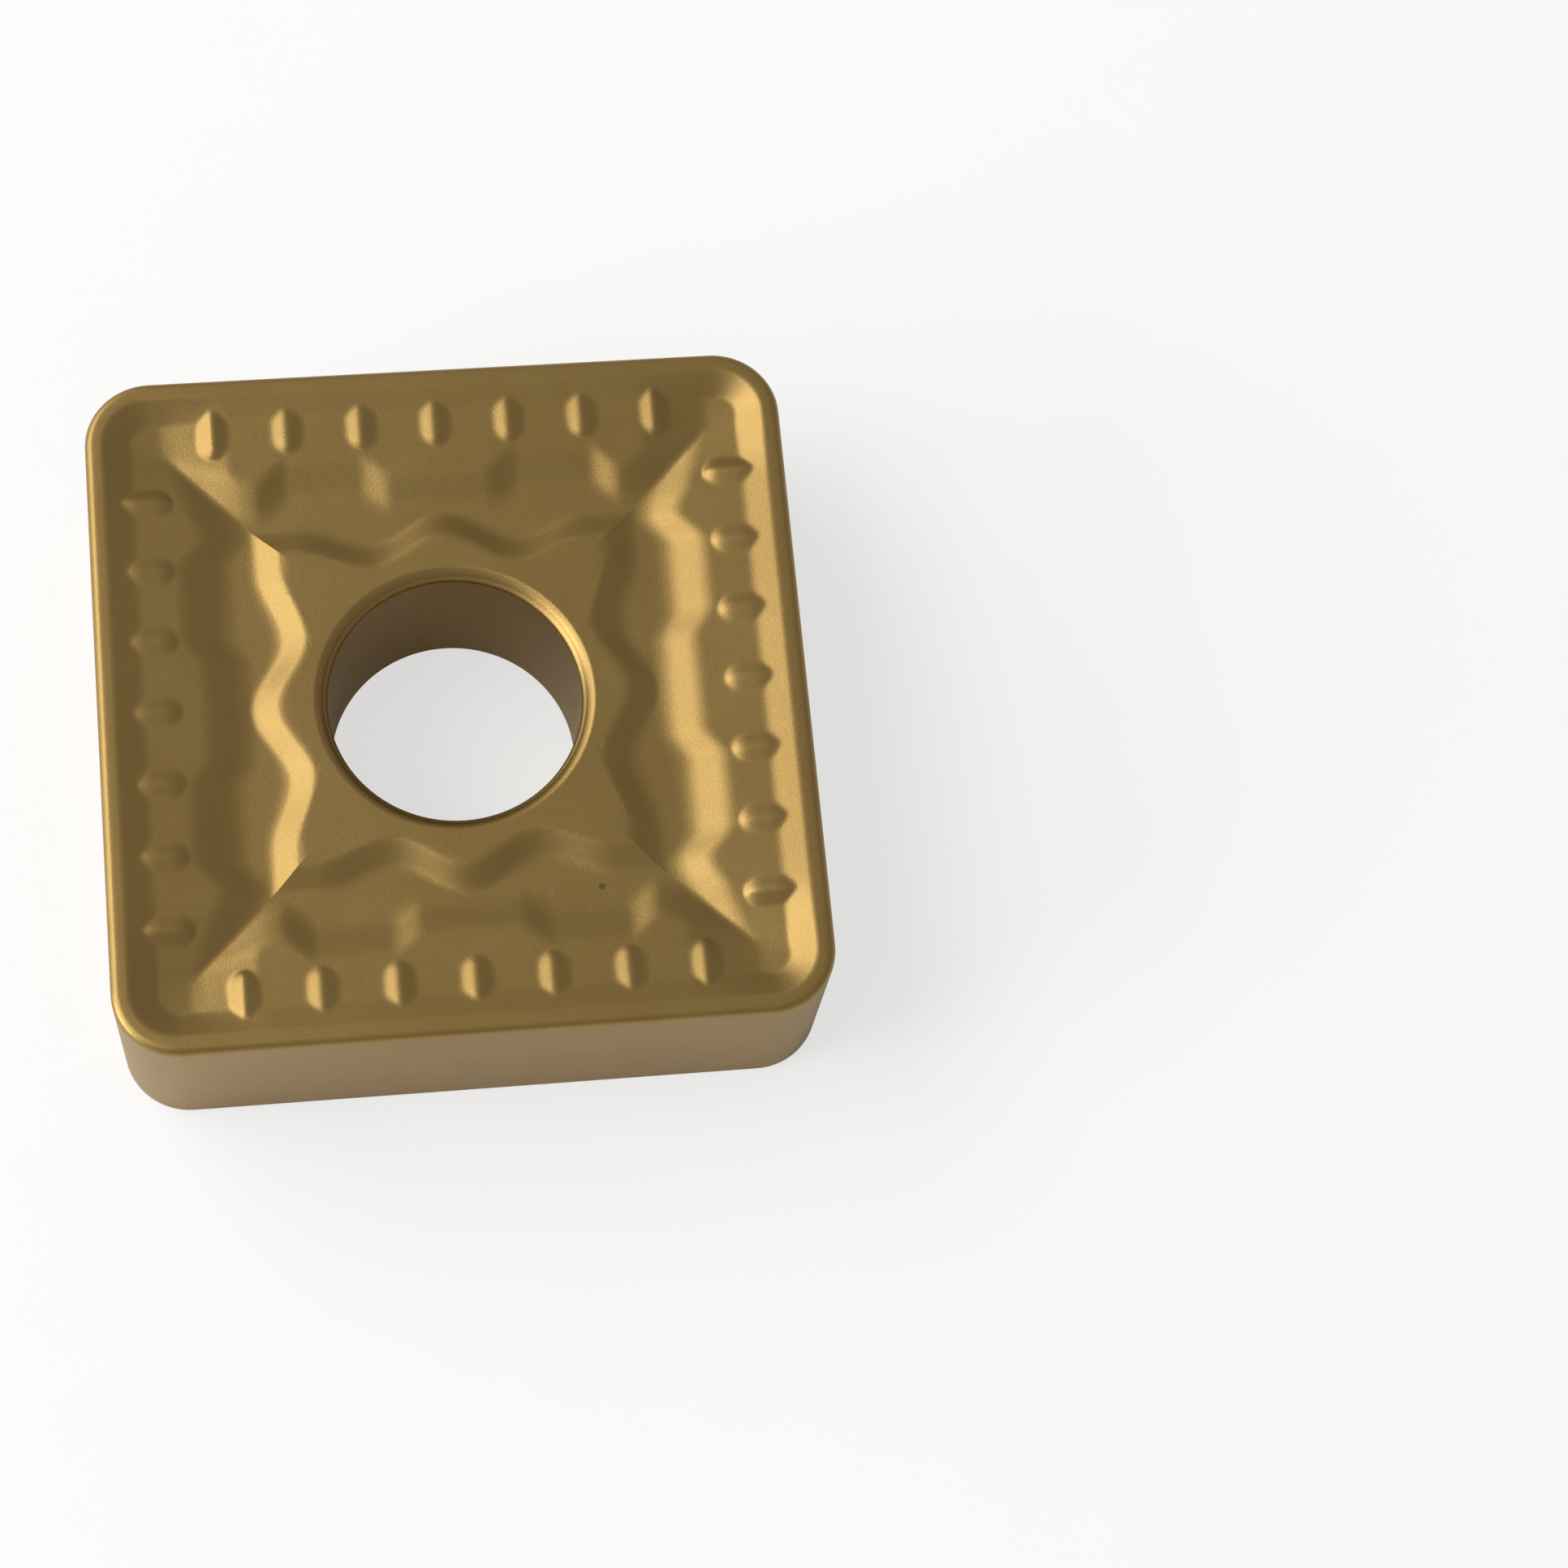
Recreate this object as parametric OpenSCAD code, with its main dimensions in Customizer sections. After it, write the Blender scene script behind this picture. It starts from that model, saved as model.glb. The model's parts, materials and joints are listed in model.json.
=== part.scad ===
// Square negative turning insert for heavy roughing: one piece of sintered carbide.
// It lies on its flat underside, +Z up, with the origin at the middle of that face.
// The top carries the pressed chipbreaker. From the cutting edge inwards it has a
// honed edge, a flat land, a first slope, a terrace with a row of short ridges, a
// wavy second slope, the groove floor, and a wavy wall up to the clamping seat.
// Sizes that end in _in run from a side face inwards, and sizes that end in
// _depth run down from the land.

/* [Blank] */
// Diameter of the circle that the square outline just holds
inscribed_d = 25.4; // [25.2:0.1:27]
// Height from the underside to the land
insert_h = 7.94; // [6:0.02:10]
// Radius of the four cutting corners, seen from above
corner_r = 2.4; // [2:0.1:3]
// Radius of the honed cutting edge
hone_r = 0.3; // [0.2:0.02:0.4]
// Chamfer round the foot of the side faces
foot_chamfer = 0.15; // [0.05:0.05:0.4]

/* [Bore] */
// Diameter of the bore for the clamping pin
bore_d = 9.12; // [8.6:0.02:9.3]
// Radius of the rounded rim where the bore meets the seat
rim_r = 0.48; // [0.2:0.02:0.6]
// Chamfer where the bore leaves the underside
bore_chamfer = 0.2; // [0.05:0.05:0.5]

/* [Land and first slope] */
// Width of the flat land behind the hone
land_w = 0.36; // [0.2:0.02:0.5]
// Width of the first slope
rake_w = 0.94; // [0.7:0.02:1.1]
// Depth of the foot of the first slope along the sides
rake_depth = 0.3; // [0.16:0.01:0.36]
// Half width over which the foot of the first slope is eased
foot_ease_w = 0.1; // [0.04:0.02:0.2]

/* [Ridge terrace] */
// Angle at which the terrace falls inwards, in degrees
terrace_tilt = 4.5; // [0:0.5:6]
// Number of ridges along each side
ridge_n = 7; // [3:1:7]
// Distance from ridge to ridge
ridge_pitch = 2.7; // [2:0.05:2.8]
// Middle of a ridge, from the side face
ridge_in = 1.88; // [1.8:0.02:2.1]
// Length of a ridge
ridge_l = 2.2; // [1.7:0.05:2.4]
// Width of a ridge
ridge_w = 1.1; // [0.8:0.05:1.4]
// Height of a ridge's crest above the terrace
ridge_h = 0.16; // [0.08:0.01:0.26]
// Radius of a ridge's two long edges, seen from above
ridge_bow_r = 2.5; // [1.5:0.1:4]

/* [Corner pockets] */
// Where a pocket starts, from the side face that lies across
pocket_in = 2.7; // [2.5:0.05:2.8]
// Inner corner of a pocket, from both side faces
pocket_tip_in = 2.78; // [2.7:0.02:3]
// Corner radius of a pocket at the foot of the first slope
pocket_r = 0.8; // [0.4:0.05:0.9]
// How far the terrace sinks on its way to a pocket
pocket_drop = 0.23; // [0:0.01:0.3]
// Length over which it sinks
ramp_l = 2.4; // [1.6:0.1:2.6]

/* [Wavy second slope] */
// Top of the slope at the middle of a side, from the side face
edge_mid_in = 3.9; // [3.7:0.02:3.96]
// Top of the slope in its two outward bays
edge_bay_in = 3.24; // [3.1:0.02:3.5]
// Top of the slope beyond the bays, towards the corners
edge_end_in = 4.08; // [3.9:0.02:4.12]
// Distance from the middle of a side to the middle of a bay
bay_at = 4.2; // [4:0.05:4.4]
// Length of a bay, half way up its ends
bay_l = 3.8; // [3.4:0.05:4]
// Length over which a bay's ends swing in
bay_swing = 1.3; // [0.8:0.1:1.6]
// Angle of the slope, in degrees
slope_a = 17.5; // [17:0.5:24]
// Depth of the groove floor at its foot
groove_depth = 0.85; // [0.75:0.01:0.86]
// Corner radius of the slope's foot, seen from above
floor_r = 0.2; // [0.1:0.05:0.5]

/* [Clamping seat] */
// Depth of the seat round the bore
seat_depth = 0.52; // [0.4:0.01:0.62]
// Width of the seat from the bore to its straight ends
seat_w = 1.36; // [1.3:0.02:1.46]
// Width of the wavy wall from the seat down to the floor
wall_w = 0.93; // [0.7:0.01:1]
// Length of a wave along the seat wall
wall_pitch = 5.3; // [5.1:0.05:5.5]
// How far the middle wave stands out from the hollows beside it
wall_swell = 0.75; // [0:0.05:0.8]
// How deep the hollows lie behind the straight ends
wall_hollow = 0.5; // [0:0.05:0.54]
// Half width over which the bends of the groove are eased
ease_w = 0.18; // [0.06:0.02:0.24]
// Corner radius of the groove's other bends, seen from above
bend_r = 0.1; // [0.1:0.02:0.3]

/* [Hidden] */
half = inscribed_d / 2;
corner_c = half - corner_r;              // the corner arcs are centred here, in x and y
land_v = half - hone_r - land_w;         // inner edge of the land
foot_v = land_v - rake_w;                // foot of the first slope
pocket_tip = half - pocket_tip_in;
seat_reach = bore_d / 2 + seat_w;
seat_z = insert_h - seat_depth;
side_steps = 56;                         // stations of the groove along a side
corner_steps = 8;                        // and round a corner
fan_l = 0.5;                             // length over which the end stations fan
run_on = 0.1;                            // share by which a section's ends run on
ease_share = 0.4;                        // most of a slope that one easing takes
cut_over = 0.5;                          // how far a cutter stands clear of the blank
round_fn = 96;

function limit(t, low, high) = max(low, min(high, t));
function mix(a, b, t) = a + (b - a) * t;
function smooth(t) = let (c = limit(t, 0, 1)) c * c * (3 - 2 * c);

// The bends of the chipbreaker are lines that run along a side, at v from the
// centre and u from the middle of the side, with heights from the land.
// 0 along a side, 1 where the corner pocket starts
function ramp(u) = limit((abs(u) - (half - pocket_in - ramp_l)) / ramp_l, 0, 1);
function terrace_z(v, u) = -rake_depth - tan(terrace_tilt) * (foot_v - v) - pocket_drop * ramp(u);

// 1 in a bay of the second slope, 0 beside it
function swing(u, from) = smooth((abs(u) - from) / bay_swing + 0.5);
function bay(u) = swing(u, bay_at - bay_l / 2) * (1 - swing(u, bay_at + bay_l / 2));
function wavy_v(u) = half - mix(abs(u) < bay_at ? edge_mid_in : edge_end_in, edge_bay_in, bay(u));
function slope_w(v) = (groove_depth + terrace_z(v, 0)) / tan(slope_a);
floor_reach = half - edge_end_in - slope_w(half - edge_end_in);

function wave(u) = (1 + cos(360 * min(abs(u) / wall_pitch, 1))) / 2;
function seat_v(u) = seat_reach - wall_hollow
    + (abs(u) < wall_pitch / 2 ? wall_swell : wall_hollow) * wave(u);

// Where each line leaves its side to turn the corner
foot_u = foot_v - pocket_r;
edge_u = pocket_tip - bend_r;
floor_u = floor_reach - floor_r;
wall_u = seat_reach + wall_w - bend_r;
seat_u = seat_reach - bend_r;
// Stations run along a side to corner_c, and each line's last ones fan in or out
function fan(s, end) = let (from = min(end, corner_c) - fan_l)
    abs(s) < from ? s : sign(s) * mix(from, end, (abs(s) - from) / (corner_c - from));
// Beyond the floor's corner the top of the slope flares out to the pocket
flare_bend = 1.2;
function flare(u) = pow(limit((abs(u) - floor_reach) / (edge_u - floor_reach), 0, 1), flare_bend);

function land_line(s) = [land_v, s, 0];
function foot_line(s) = let (u = fan(s, foot_u)) [foot_v, u, terrace_z(foot_v, u)];
function edge_line(s) = let (u = fan(s, edge_u), v = mix(wavy_v(u), pocket_tip, flare(u)))
    [v, u, terrace_z(v, u)];
function floor_line(s) = let (u = fan(s, floor_u), v = wavy_v(u)) [v - slope_w(v), u, -groove_depth];
function wall_line(s) = let (u = fan(s, wall_u)) [seat_v(u) + wall_w, u, -groove_depth];
function seat_line(s) = let (u = fan(s, seat_u)) [seat_v(u), u, -seat_depth];

// A line's point at station s of a side, carried on round the corner by phi
function turned(p, phi) = phi == 0 ? p
    : [p[1] + (p[0] - p[1]) * cos(phi), p[1] + (p[0] - p[1]) * sin(phi), p[2]];

// Closed section of the groove cutter, from the seat out to the land: each bend
// is eased to a point on each side of it, and both ends run on past the blank
function toward(p, q, w) = p + (q - p) * min(w / norm(q - p), ease_share);
function past(p, q) = q + (q - p) * run_on;
function section(s, phi) = let (
        bends = [for (p = [seat_line(s), wall_line(s), floor_line(s), edge_line(s),
            foot_line(s), land_line(s)]) turned(p, phi)],
        inner = past(bends[1], bends[0]),
        outer = past(bends[4], bends[5]),
        path = [inner, for (i = [1:4]) bends[i], outer],
        eases = [0, ease_w, ease_w, ease_w, foot_ease_w])
    [inner,
     for (i = [1:4]) each [toward(path[i], path[i - 1], eases[i]), toward(path[i], path[i + 1], eases[i])],
     outer, [outer[0], outer[1], cut_over], [inner[0], inner[1], cut_over]];

stations = [for (k = [0:3]) each [
    for (i = [0:side_steps]) [k, corner_c * (2 * i / side_steps - 1), 0],
    for (i = [1:corner_steps - 1]) [k, corner_c, 90 * i / corner_steps]]];

// The groove is one ring, lofted through a section at every station
module groove() {
    n = len(stations);
    m = len(section(0, 0));
    points = [for (t = stations) for (p = section(t[1], t[2]))
        [p[0] * cos(90 * t[0]) - p[1] * sin(90 * t[0]),
         p[0] * sin(90 * t[0]) + p[1] * cos(90 * t[0]), p[2]]];
    faces = [for (i = [0:n - 1]) for (j = [0:m - 1]) let (
            next = (i + 1) % n,
            a = i * m + j, b = i * m + (j + 1) % m,
            c = next * m + (j + 1) % m, d = next * m + j)
        each [[a, b, c], [a, c, d]]];
    polyhedron(points, faces);
}

// Half of the blank's side profile, out to a side face that lies at reach
module edge_profile(reach) {
    difference() {
        union() {
            square([reach - hone_r, insert_h]);
            square([reach, insert_h - hone_r]);
            translate([reach - hone_r, insert_h - hone_r]) circle(hone_r, $fn = round_fn);
        }
        translate([reach, 0]) rotate(45) square(foot_chamfer * sqrt(2), center = true);
    }
}

module blank() {
    for (turn = [0, 90]) rotate(turn) rotate([90, 0, 0])
        linear_extrude(2 * corner_c, center = true) {
            edge_profile(half);
            mirror([1, 0]) edge_profile(half);
        }
    for (x = [-1, 1], y = [-1, 1]) translate([x * corner_c, y * corner_c])
        rotate_extrude($fn = round_fn) edge_profile(corner_r);
}

// Lowers the middle of the blank to the seat; its own sides end over the groove
module seat_recess() {
    reach = (seat_reach + wall_w + floor_reach) / 2;
    translate([-reach, -reach, seat_z]) cube([2 * reach, 2 * reach, seat_depth + cut_over]);
}

module bore() {
    rotate_extrude($fn = round_fn) {
        translate([0, -cut_over]) square([bore_d / 2, insert_h + 2 * cut_over]);
        translate([bore_d / 2, 0]) rotate(45) square(bore_chamfer * sqrt(2), center = true);
        difference() {
            translate([0, seat_z - rim_r]) square([bore_d / 2 + rim_r, rim_r + cut_over]);
            translate([bore_d / 2 + rim_r, seat_z - rim_r]) circle(rim_r, $fn = round_fn);
        }
    }
}

// Cone of radius r with a straight root, which stands in the terrace
module cone(r, slope) {
    root = 0.3;
    tip_r = 0.05;
    cylinder(h = (r - tip_r) * slope, r1 = r, r2 = tip_r, $fn = round_fn);
    translate([0, 0, -root]) cylinder(h = root, r = r, $fn = round_fn);
}

// A ridge is where three wide cones overlap. Two make the flanks, which meet in the
// crest and run down to the terrace beside it, and the third rounds off both ends.
module ridge(u) {
    v = half - ridge_in;
    base_z = terrace_z(v, 0);
    translate([v, u, insert_h + base_z]) rotate([0, -terrace_tilt, 0]) intersection() {
        cone(ridge_l / 2, 2 * ridge_h / ridge_w);
        intersection_for (side = [-1, 1]) {
            foot_z = terrace_z(v, u + side * ridge_w / 2) - base_z;
            translate([0, -side * (ridge_bow_r - ridge_w / 2), foot_z])
                cone(ridge_bow_r, 2 * (ridge_h - foot_z) / ridge_w);
        }
    }
}

module ridges() {
    for (k = [0:3], i = [0:ridge_n - 1])
        rotate(90 * k) ridge((i - (ridge_n - 1) / 2) * ridge_pitch);
}

module insert_body() {
    color("#a8803a") difference() {
        union() {
            difference() {
                blank();
                seat_recess();
                translate([0, 0, insert_h]) groove();
            }
            ridges();
        }
        bore();
    }
}

insert_body();
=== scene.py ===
import bpy
import bmesh
import json
import math
from mathutils import Matrix, Vector


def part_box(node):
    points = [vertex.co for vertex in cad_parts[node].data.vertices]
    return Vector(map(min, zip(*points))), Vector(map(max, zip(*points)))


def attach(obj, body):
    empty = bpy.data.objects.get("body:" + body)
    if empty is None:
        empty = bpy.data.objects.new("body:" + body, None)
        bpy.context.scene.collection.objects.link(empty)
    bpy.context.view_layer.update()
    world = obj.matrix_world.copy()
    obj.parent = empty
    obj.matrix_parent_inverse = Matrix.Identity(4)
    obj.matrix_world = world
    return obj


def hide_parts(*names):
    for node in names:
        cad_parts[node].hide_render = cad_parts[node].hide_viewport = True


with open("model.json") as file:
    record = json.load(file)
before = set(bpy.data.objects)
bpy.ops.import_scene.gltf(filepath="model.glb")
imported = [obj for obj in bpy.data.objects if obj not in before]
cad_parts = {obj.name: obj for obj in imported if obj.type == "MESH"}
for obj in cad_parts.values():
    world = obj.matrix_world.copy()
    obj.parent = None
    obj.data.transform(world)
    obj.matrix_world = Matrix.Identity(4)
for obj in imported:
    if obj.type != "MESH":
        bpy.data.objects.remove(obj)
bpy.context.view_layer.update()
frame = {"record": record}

# ---------------------------------------------------------------------------
# The blank: a square block of cemented carbide, pressed and sintered, with its
# four side faces ground square and its four cutting corners ground round.
# ---------------------------------------------------------------------------
mm = 0.001
high = Vector(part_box("insert_body")[1])
half = high.x
land_z = high.z
corner_r = 2.4 * mm
corner_c = half - corner_r               # the corner arcs are centred here, in x and y
corner_steps = 16
ridge_n = 7                              # ridges along each side
ridge_pitch = 2.7 * mm
ridge_steps = 27                         # steps of the outline from ridge to ridge
hair = 0.01 * mm                         # places nearer than this are the same place

bpy.ops.object.select_all(action="DESELECT")
bpy.ops.mesh.primitive_plane_add(size=2 * half, location=(0, 0, land_z))
insert = bpy.context.object
insert.name = "insert"
bpy.ops.object.transform_apply(location=True)
bpy.ops.object.mode_set(mode="EDIT")


def block():
    return bmesh.from_edit_mesh(insert.data)


def pick(kind, wanted):
    """Selects the vertices, edges or faces of the block that are wanted, and nothing else."""
    bpy.ops.mesh.select_mode(type={"verts": "VERT", "edges": "EDGE", "faces": "FACE"}[kind])
    bpy.ops.mesh.select_all(action="DESELECT")
    bm = block()
    for part in getattr(bm, kind):
        if wanted(part):
            part.select_set(True)
    bmesh.update_edit_mesh(insert.data)


def is_long(edge):
    return edge.calc_length() > ridge_pitch / 2


# The corners are rounded. Each side gets one vertex at every ridge's crest, which
# makes the ridges come out alike, and is then cut into fine steps.
bpy.ops.mesh.select_all(action="SELECT")
bpy.ops.mesh.bevel(offset=corner_r, affect="VERTICES", segments=corner_steps, profile=0.5)
pick("edges", is_long)
bpy.ops.mesh.subdivide(number_cuts=ridge_n)
bm = block()
for vert in bm.verts:
    for along, across in ((0, 1), (1, 0)):
        if abs(vert.co[across]) > half - hair and abs(vert.co[along]) < corner_c - hair:
            vert.co[along] *= ridge_pitch * (ridge_n + 1) / (2 * corner_c)
pick("edges", is_long)
bpy.ops.mesh.subdivide(number_cuts=ridge_steps - 1)

# Every vertex keeps its place on the outline, and the rings that follow are laid by it.
bm = block()
outline = bm.verts.layers.float_vector.new("outline")
for vert in bm.verts:
    vert[outline] = vert.co
bpy.ops.mesh.select_all(action="SELECT")
bpy.ops.mesh.delete(type="ONLY_FACE")

# ---------------------------------------------------------------------------
# The chipbreaker: pressed into the top of the block with the powder. From the
# cutting edge inwards it is a flat land, a first slope, a terrace that sinks to a
# pocket in each corner, a second slope with two bays, a groove, and a wavy wall
# that rises to the seat. Two sides meet in a valley that runs to each corner.
# ---------------------------------------------------------------------------
mounts = {mount["name"]: mount for mount in frame["record"]["mounts"]}
bore_r = mounts["pin_bore"]["dims"]["r_mm"] * mm
seat_depth = land_z - mounts["clamp_seat"]["pos_m"][2]

hone_r = 0.3 * mm
land_w = 0.36 * mm
rake_w = 0.94 * mm
rake_depth = 0.3 * mm
land_v = half - hone_r - land_w
foot_v = land_v - rake_w                 # foot of the first slope

terrace_fall = math.tan(math.radians(4.5))
pocket_at = half - 2.7 * mm              # where a pocket starts, along each side
pocket_drop = 0.23 * mm
pocket_steeper = 0.7                     # how much more steeply the terrace falls there
pocket_round_at = pocket_at - 0.6 * mm   # the pocket is a cone round this corner
ramp_l = 2.4 * mm
ramp_soft = 0.06                         # share of the ramp that is rounded at its ends

edge_mid_in = 3.9 * mm                   # top of the second slope, from the side face
edge_bay_in = 3.24 * mm
edge_end_in = 4.08 * mm
bay_at = 4.2 * mm
bay_l = 3.8 * mm
bay_swing = 1.3 * mm
slope_fall = math.tan(math.radians(19.5))
groove_depth = 0.92 * mm
valley_at = 8 * mm                       # where the valley leaves the groove's floor
valley_start = 0.5 * mm                  # the run over which it starts to rise
valley_tip = half - 2.95 * mm            # where it comes out in the pocket
tip_rise = 0.3                           # how much more steeply it rises past its tip
valley_widens_at = 14 * mm               # x and y together, where it grows wider
valley_widens_l = 2 * mm
valley_soft_in, valley_soft_out = 0.03, 0.22     # of a millimetre
slope_turn = 0.9 * mm                    # where the slope's foot turns into the valley

seat_reach = bore_r + 1.36 * mm
wall_w = 0.93 * mm
wall_pitch = 5.3 * mm
wall_swell = 1.08 * mm
wall_hollow = 0.72 * mm

# How softly the faces run into each other
land_soft = 0.016 * mm
rake_soft = 0.036 * mm
terrace_soft = 0.08 * mm
groove_soft = 0.15 * mm
wall_soft = 0.09 * mm
seat_soft = 0.06 * mm


def limit(t):
    return max(0.0, min(1.0, t))


def mix(a, b, t):
    return a + (b - a) * t


def smooth(t):
    return limit(t) ** 2 * (3 - 2 * limit(t))


def soft_max(a, b, soft):
    """The greater of two heights, rounded off where they nearly meet."""
    return max(a, b) + max(soft - abs(a - b), 0) ** 2 / (4 * soft)


def soft_min(a, b, soft):
    return -soft_max(-a, -b, soft)


# Each line below is at v from the middle, at u along its side.
def swing(u, start):
    return smooth((u - start) / bay_swing + 0.5)


def edge_v(u):
    """Top of the second slope."""
    bay = swing(u, bay_at - bay_l / 2) * (1 - swing(u, bay_at + bay_l / 2))
    return half - mix(edge_mid_in if u < bay_at else edge_end_in, edge_bay_in, bay)


def slope_w(v):
    return (groove_depth - rake_depth - terrace_fall * (foot_v - v)) / slope_fall


def floor_v(u):
    """Foot of the second slope."""
    return edge_v(u) - slope_w(edge_v(u))


def foot_and_valley(u):
    """Foot of the second slope, and of the valley beyond where they meet."""
    return soft_max(floor_v(u), u, slope_turn)


def seat_v(u):
    """Top of the wavy wall."""
    wave = (1 + math.cos(2 * math.pi * min(u / wall_pitch, 1))) / 2
    return seat_reach - wall_hollow + (wall_swell if u < wall_pitch / 2 else wall_hollow) * wave


def rounded(v, u, start):
    """v along a side, and the distance out from the corner that starts there."""
    return v if u < start else start + math.hypot(v - start, u - start)


def shelf(v, u):
    """Depth of the terrace, which falls inwards, more steeply in the pocket."""
    sunk = soft_max(soft_min((u - pocket_at) / ramp_l + 1, 1, ramp_soft), 0, ramp_soft)
    fall = terrace_fall * (1 + pocket_steeper * sunk)
    return rake_depth + pocket_drop * sunk + fall * (foot_v - rounded(v, u, pocket_round_at))


valley_rise = (groove_depth - shelf(valley_tip, valley_tip)) / (valley_tip - valley_at)


def height(x, y):
    """Height of the pressed face. Its slopes run softly into each other where they cross."""
    widened = limit((abs(x) + abs(y) - valley_widens_at) / valley_widens_l)
    valley_soft = mix(valley_soft_in, valley_soft_out, widened) * mm
    v = soft_max(abs(x), abs(y), valley_soft)
    u = abs(x) + abs(y) - v
    reach = rounded(v, u, corner_c)
    foot_depth = shelf(foot_v, min(u, pocket_at))
    rake = (reach - land_v) * foot_depth / rake_w
    rise = valley_rise * soft_max(u - valley_at, 0, valley_start)
    rise += tip_rise * max(u - valley_tip, 0)
    slope = rise - groove_depth + slope_fall * (v - foot_and_valley(u))
    wall = -seat_depth - (groove_depth - seat_depth) * (v - seat_v(u)) / wall_w
    z = soft_max(soft_min(-shelf(v, u), slope, terrace_soft), rake, rake_soft)
    z = soft_max(z, -groove_depth, groove_soft)
    z = soft_max(z, soft_min(wall, -seat_depth, seat_soft), wall_soft)
    return land_z + soft_min(z, 0, land_soft)


# ---------------------------------------------------------------------------
# The ridges: seven short roof-shaped bumps stand on the terrace along each side
# and help to break the chip. They are pressed with it, of the same carbide, and
# both their flanks run down to the terrace.
# ---------------------------------------------------------------------------
ridge_v = half - 1.88 * mm
ridge_l = 2.2 * mm
ridge_w = 1.1 * mm
ridge_h = 0.16 * mm
blunt_in, blunt_out = 5, 2               # how late the crest falls to either end
crest_soft = 0.09 * mm
root_soft = 0.03 * mm


def with_ridges(x, y):
    """Height of the pressed face, or of the ridge that stands there."""
    z = height(x, y)
    v, u = (abs(x), y) if abs(x) > abs(y) else (abs(y), x)
    place = round(u / ridge_pitch)
    if abs(place) > ridge_n // 2 or abs(v - ridge_v) > ridge_l / 2:
        return z
    root = height(ridge_v, 0)
    t, w = v - ridge_v, u - place * ridge_pitch
    crest = ridge_h * (1 - abs(2 * t / ridge_l) ** (blunt_in if t < 0 else blunt_out))
    flanks = []
    for side in (-1, 1):
        drop = root - height(ridge_v, place * ridge_pitch + side * ridge_w / 2)
        flanks.append(crest - side * w * 2 * (ridge_h + drop) / ridge_w)
    return soft_max(z, root + terrace_fall * t + soft_min(*flanks, crest_soft), root_soft)


# ---------------------------------------------------------------------------
# The body: its section runs from the underside up the side face, in over the
# pressed face to the bore and down it. The cutting edge is honed round by
# brushing, the bore's mouth is pressed round, and the underside is ground flat.
# ---------------------------------------------------------------------------
foot_chamfer = 0.15 * mm
bore_chamfer = 0.2 * mm
fan_l = 0.5 * mm                         # the last stations of a side fan out over this
slope_ease = 0.1 * mm                    # how far short of its corner a line stays
seat_ease = 0.06 * mm
seat_edge_w = 0.06 * mm                  # keeps the seat flat up to the bore's mouth

# The bore's mouth is two arcs, one below the other, each from one steepness to another.
mouth_arcs = (
    (0.74 * mm, math.radians(24), math.radians(56)),
    (0.26 * mm, math.radians(26), math.radians(90)),
)
mouth_w = sum(r * (math.sin(end) - math.sin(start)) for r, start, end in mouth_arcs)

# Rings from bend to bend: the side face, the hone, then the land, the first slope,
# the terrace, the second slope, the groove, the wall, the seat and its edge, and
# last each arc of the mouth and the bore.
side_rings = 3
hone_rings = 8
top_rings = (3, 10, 24, 12, 7, 8, 6, 1)
arc_rings = 6
bore_rings = 3


def side_of(point):
    """How many quarter turns bring a point of the outline to the right, and it there."""
    for quarter in range(4):
        turned = Matrix.Rotation(-quarter * math.pi / 2, 3, "Z") @ point
        if turned.x > corner_c and turned.y > -corner_c - hair:
            return quarter, turned


def fan(s, end):
    """Stations run along a side to corner_c, and a line's last ones fan to its own end."""
    start = min(end, corner_c) - fan_l
    if abs(s) < start:
        return s
    return math.copysign(mix(start, end, (abs(s) - start) / (corner_c - start)), s)


def edge_line(u):
    """Where the second slope comes up to the terrace, which sinks towards the corner."""
    low = groove_depth - valley_rise * max(u - valley_at, 0)
    top = shelf(0, u)
    fall = (top - shelf(mm, u)) / mm
    return (low - top + slope_fall * foot_and_valley(u)) / (slope_fall - fall)


def crossings(point):
    """Where the station of a point of the outline crosses each bend of the block, from above."""
    quarter, turned = side_of(point)
    phi = math.atan2(max(turned.y - corner_c, 0), turned.x - corner_c)
    places = []
    for line_v, end in (
        (lambda u: half, corner_c),
        (lambda u: half - hone_r, corner_c),
        (lambda u: land_v, corner_c),
        (lambda u: foot_v, corner_c),
        (edge_line, valley_tip - slope_ease),
        (floor_v, floor_v(corner_c) - slope_ease),
        (lambda u: seat_v(u) + wall_w, seat_reach + wall_w - seat_ease),
        (seat_v, seat_reach - seat_ease),
    ):
        u = fan(min(turned.y, corner_c), end)
        v = line_v(abs(u))
        place = Vector((u + (v - u) * math.cos(phi), u + (v - u) * math.sin(phi), 0))
        places.append(Matrix.Rotation(quarter * math.pi / 2, 3, "Z") @ place)
    return places


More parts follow.
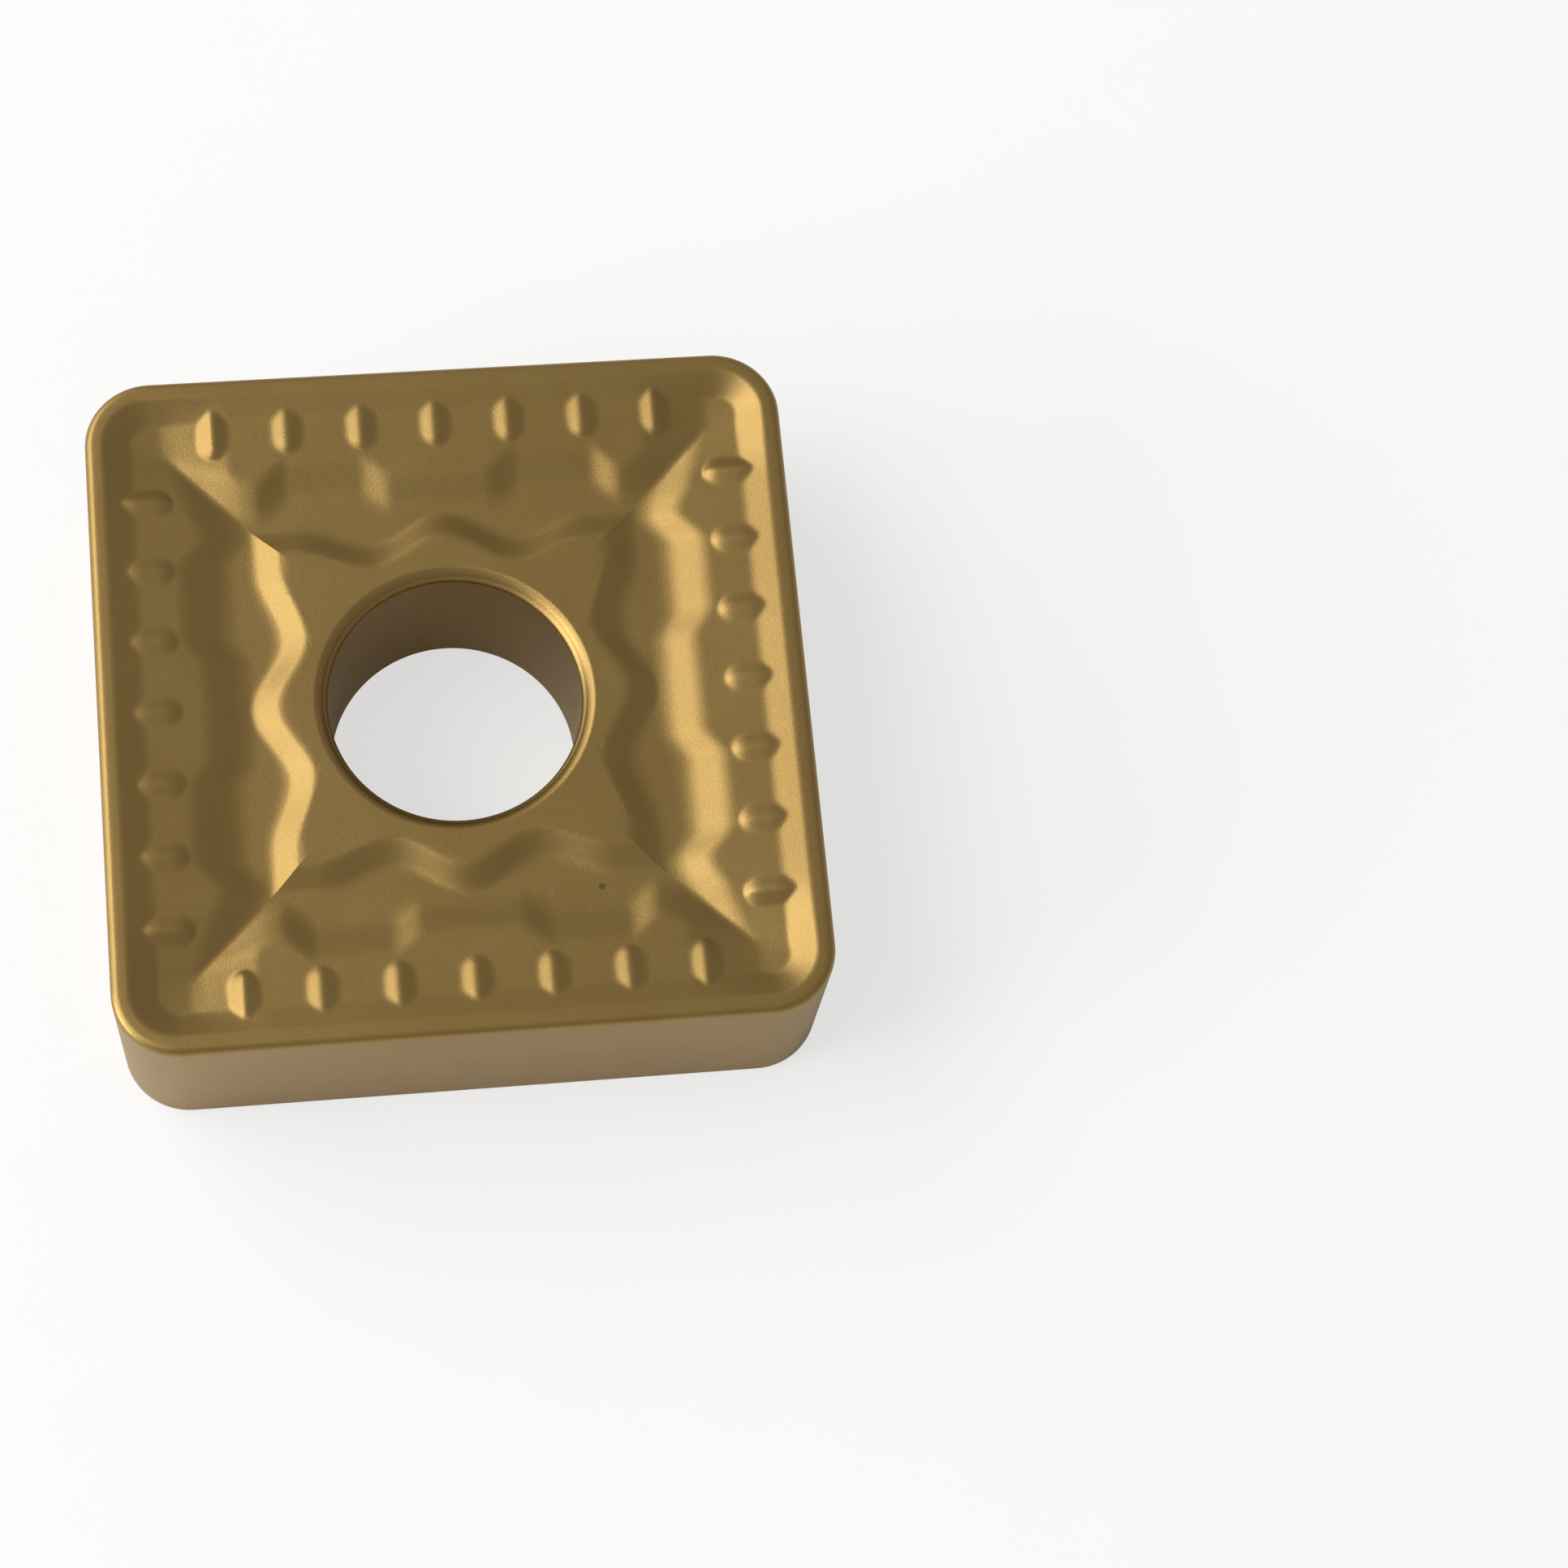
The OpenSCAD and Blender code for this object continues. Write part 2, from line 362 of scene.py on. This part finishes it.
def section(point):
    """Every place of the section at a point of the outline, in order."""
    outer, crown, *bends = crossings(point)
    towards = Vector((*point.xy.normalized(), 0))
    places = [outer.lerp(crown, foot_chamfer / hone_r)]
    for step in range(side_rings + 1):
        z = mix(foot_chamfer, land_z - hone_r, step / side_rings)
        places.append(outer + Vector((0, 0, z)))
    for step in range(1, hone_rings + 1):
        turn = math.pi / 2 * step / hone_rings
        places.append(outer.lerp(crown, 1 - math.cos(turn)))
        places[-1].z = land_z - hone_r * (1 - math.sin(turn))
    mouth_v = bore_r + mouth_w
    inward = [crown, *bends, towards * (mouth_v + seat_edge_w), towards * mouth_v]
    for start, end, steps in zip(inward, inward[1:], top_rings):
        for step in range(1, steps + 1):
            place = start.lerp(end, step / steps)
            place.z = with_ridges(place.x, place.y)
            places.append(place)
    for r, start, end in mouth_arcs:
        edge = places[-1]
        for step in range(1, arc_rings + 1):
            turn = mix(start, end, step / arc_rings)
            places.append(edge - towards * r * (math.sin(turn) - math.sin(start)))
            places[-1].z = edge.z - r * (math.cos(start) - math.cos(turn))
    mouth_z = places[-1].z
    for step in range(1, bore_rings + 1):
        places.append(towards * bore_r)
        places[-1].z = mix(mouth_z, bore_chamfer, step / bore_rings)
    places.append(towards * (bore_r + bore_chamfer))
    return places


# The open loop is extruded ring by ring along the section. At the last its two
# ends are bridged across the underside.
bm = block()
outline = bm.verts.layers.float_vector["outline"]
ways = {tuple(vert[outline]): section(vert[outline]) for vert in bm.verts}
for vert in bm.verts:
    vert.co = ways[tuple(vert[outline])][0]
bpy.ops.mesh.select_all(action="SELECT")
for ring in range(1, len(section(Vector((half, 0, 0))))):
    bpy.ops.mesh.extrude_region_move()
    bm = block()
    outline = bm.verts.layers.float_vector["outline"]
    for vert in bm.verts:
        if vert.select:
            vert.co = ways[tuple(vert[outline])][ring]
bmesh.update_edit_mesh(insert.data)
pick("edges", lambda edge: len(edge.link_faces) == 1)
bpy.ops.mesh.bridge_edge_loops()

bpy.ops.mesh.select_all(action="SELECT")
bpy.ops.mesh.normals_make_consistent(inside=False)
bpy.ops.object.mode_set(mode="OBJECT")
bpy.ops.object.shade_smooth_by_angle(angle=math.radians(40))
bpy.ops.object.modifier_add(type="WEIGHTED_NORMAL")
insert.modifiers[0].keep_sharp = True
bpy.ops.object.modifier_apply(modifier=insert.modifiers[0].name)

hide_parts("insert_body")
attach(insert, "root")

# ---------------------------------------------------------------------------
# The coating: a thin, hard, gold-brown layer laid from the gas on the whole insert.
# The sintered grain under it breaks up its shine, and it is not polished.
# ---------------------------------------------------------------------------
coating = bpy.data.materials.new("gold_brown_coating")
coating.use_nodes = True
nodes, links = coating.node_tree.nodes, coating.node_tree.links
surface = nodes["Principled BSDF"]
surface.inputs["Metallic"].default_value = 1.0

where = nodes.new("ShaderNodeTexCoord")

mottle = nodes.new("ShaderNodeTexNoise")
mottle.inputs["Scale"].default_value = 350
mottle.inputs["Detail"].default_value = 5
mottle.inputs["Roughness"].default_value = 0.6
links.new(where.outputs["Object"], mottle.inputs["Vector"])
tint = nodes.new("ShaderNodeValToRGB")
tint.color_ramp.elements[0].position = 0.3
tint.color_ramp.elements[0].color = (0.331, 0.212, 0.071, 1)
tint.color_ramp.elements[1].position = 0.7
tint.color_ramp.elements[1].color = (0.35, 0.233, 0.08, 1)
links.new(mottle.outputs["Fac"], tint.inputs["Fac"])

# A dark speck lies in the groove at the front, with two pale scuffs near it.
mark_core = 0.4                          # share of a mark's reach that is full
marked = tint.outputs["Color"]
for x, y, reach, strength, shade in (
    (4.7, -7.38, 0.17, 0.8, (0.13, 0.1, 0.045, 1)),
    (2.9, -7.5, 0.14, 0.35, (0.42, 0.3, 0.13, 1)),
    (4.2, -8.25, 0.2, 0.35, (0.4, 0.29, 0.13, 1)),
):
    gap = nodes.new("ShaderNodeVectorMath")
    gap.operation = "DISTANCE"
    gap.inputs[1].default_value = (x * mm, y * mm, land_z - groove_depth)
    links.new(where.outputs["Object"], gap.inputs[0])
    spot = nodes.new("ShaderNodeMapRange")
    spot.inputs["From Min"].default_value = mark_core * reach * mm
    spot.inputs["From Max"].default_value = reach * mm
    spot.inputs["To Min"].default_value = strength
    spot.inputs["To Max"].default_value = 0
    links.new(gap.outputs["Value"], spot.inputs["Value"])
    mark = nodes.new("ShaderNodeMix")
    mark.data_type = "RGBA"
    mark.inputs["B"].default_value = shade
    links.new(spot.outputs["Result"], mark.inputs["Factor"])
    links.new(marked, mark.inputs["A"])
    marked = mark.outputs["Result"]
links.new(marked, surface.inputs["Base Color"])

grain = nodes.new("ShaderNodeTexNoise")
grain.inputs["Scale"].default_value = 13000
grain.inputs["Detail"].default_value = 3
links.new(where.outputs["Object"], grain.inputs["Vector"])
sheen = nodes.new("ShaderNodeMapRange")
sheen.inputs["To Min"].default_value = 0.36
sheen.inputs["To Max"].default_value = 0.5
links.new(grain.outputs["Fac"], sheen.inputs["Value"])
links.new(sheen.outputs["Result"], surface.inputs["Roughness"])
relief = nodes.new("ShaderNodeBump")
relief.inputs["Strength"].default_value = 0.35
relief.inputs["Distance"].default_value = 0.015 * mm
links.new(grain.outputs["Fac"], relief.inputs["Height"])
links.new(relief.outputs["Normal"], surface.inputs["Normal"])
insert.data.materials.append(coating)

# ---------------------------------------------------------------------------
# The room: the insert lies flat on a sheet of white paper in soft studio light.
# Three soft lamps stand on its left, one low, one high and one further back.
# ---------------------------------------------------------------------------
bpy.ops.object.select_all(action="DESELECT")
bpy.ops.mesh.primitive_plane_add(size=2, location=(0, 0, 0))
floor = bpy.context.object
floor.name = "floor"
paper = bpy.data.materials.new("white_paper")
paper.use_nodes = True
nodes, links = paper.node_tree.nodes, paper.node_tree.links
sheet = nodes["Principled BSDF"]
sheet.inputs["Roughness"].default_value = 0.9
on_sheet = nodes.new("ShaderNodeTexCoord")
fibre = nodes.new("ShaderNodeTexNoise")
fibre.inputs["Scale"].default_value = 400
links.new(on_sheet.outputs["Object"], fibre.inputs["Vector"])
shade = nodes.new("ShaderNodeValToRGB")
shade.color_ramp.elements[0].color = (0.89, 0.89, 0.89, 1)
shade.color_ramp.elements[1].color = (0.91, 0.91, 0.91, 1)
links.new(fibre.outputs["Fac"], shade.inputs["Fac"])
links.new(shade.outputs["Color"], sheet.inputs["Base Color"])

# Seen by the camera the sheet is mostly white by itself, and keeps a light shadow.
# The metal sees a little of that white too.
white_seen = 0.65
white_in_metal = 0.08
white = nodes.new("ShaderNodeEmission")
rays = nodes.new("ShaderNodeLightPath")
glow = nodes.new("ShaderNodeMath")
glow.operation = "MULTIPLY"
glow.inputs[1].default_value = white_in_metal
share = nodes.new("ShaderNodeMath")
share.operation = "MULTIPLY_ADD"
share.inputs[1].default_value = white_seen
both = nodes.new("ShaderNodeMixShader")
links.new(rays.outputs["Is Glossy Ray"], glow.inputs[0])
links.new(rays.outputs["Is Camera Ray"], share.inputs[0])
links.new(glow.outputs["Value"], share.inputs[2])
links.new(share.outputs["Value"], both.inputs["Fac"])
links.new(sheet.outputs["BSDF"], both.inputs[1])
links.new(white.outputs["Emission"], both.inputs[2])
links.new(both.outputs["Shader"], nodes["Material Output"].inputs["Surface"])
floor.data.materials.append(paper)

world = bpy.data.worlds.new("studio")
bpy.context.scene.world = world
world.use_nodes = True
background = world.node_tree.nodes["Background"]
background.inputs["Color"].default_value = (1, 1, 1, 1)
background.inputs["Strength"].default_value = 0.39

lamp_reach = 0.6
for name, turn, tilt, width, length, power in (
    ("low_softbox", 190, 18, 0.35, 0.25, 2.31),
    ("back_softbox", 140, 35, 0.4, 0.4, 1.5),
    ("high_softbox", 180, 55, 0.3, 0.3, 1.01),
):
    round_it = Matrix.Rotation(math.radians(turn), 3, "Z")
    above_it = Matrix.Rotation(-math.radians(tilt), 3, "Y")
    away = round_it @ above_it @ Vector((1, 0, 0))
    bpy.ops.object.light_add(type="AREA", location=lamp_reach * away)
    lamp = bpy.context.object
    lamp.name = name
    lamp.data.shape = "RECTANGLE"
    lamp.data.size = width
    lamp.data.size_y = length
    lamp.data.energy = power
    lamp.rotation_euler = away.to_track_quat("Z", "Y").to_euler()

bpy.ops.object.camera_add(location=(-0.004831, -0.048673, 0.14195))
camera = bpy.context.object
camera.rotation_euler = [math.radians(turn) for turn in (18.783, -5.044, -5.647)]
camera.data.lens = 91.15
camera.data.sensor_width = 36
camera.data.clip_start = 0.001
bpy.context.scene.camera = camera
bpy.context.scene.view_settings.view_transform = "Standard"
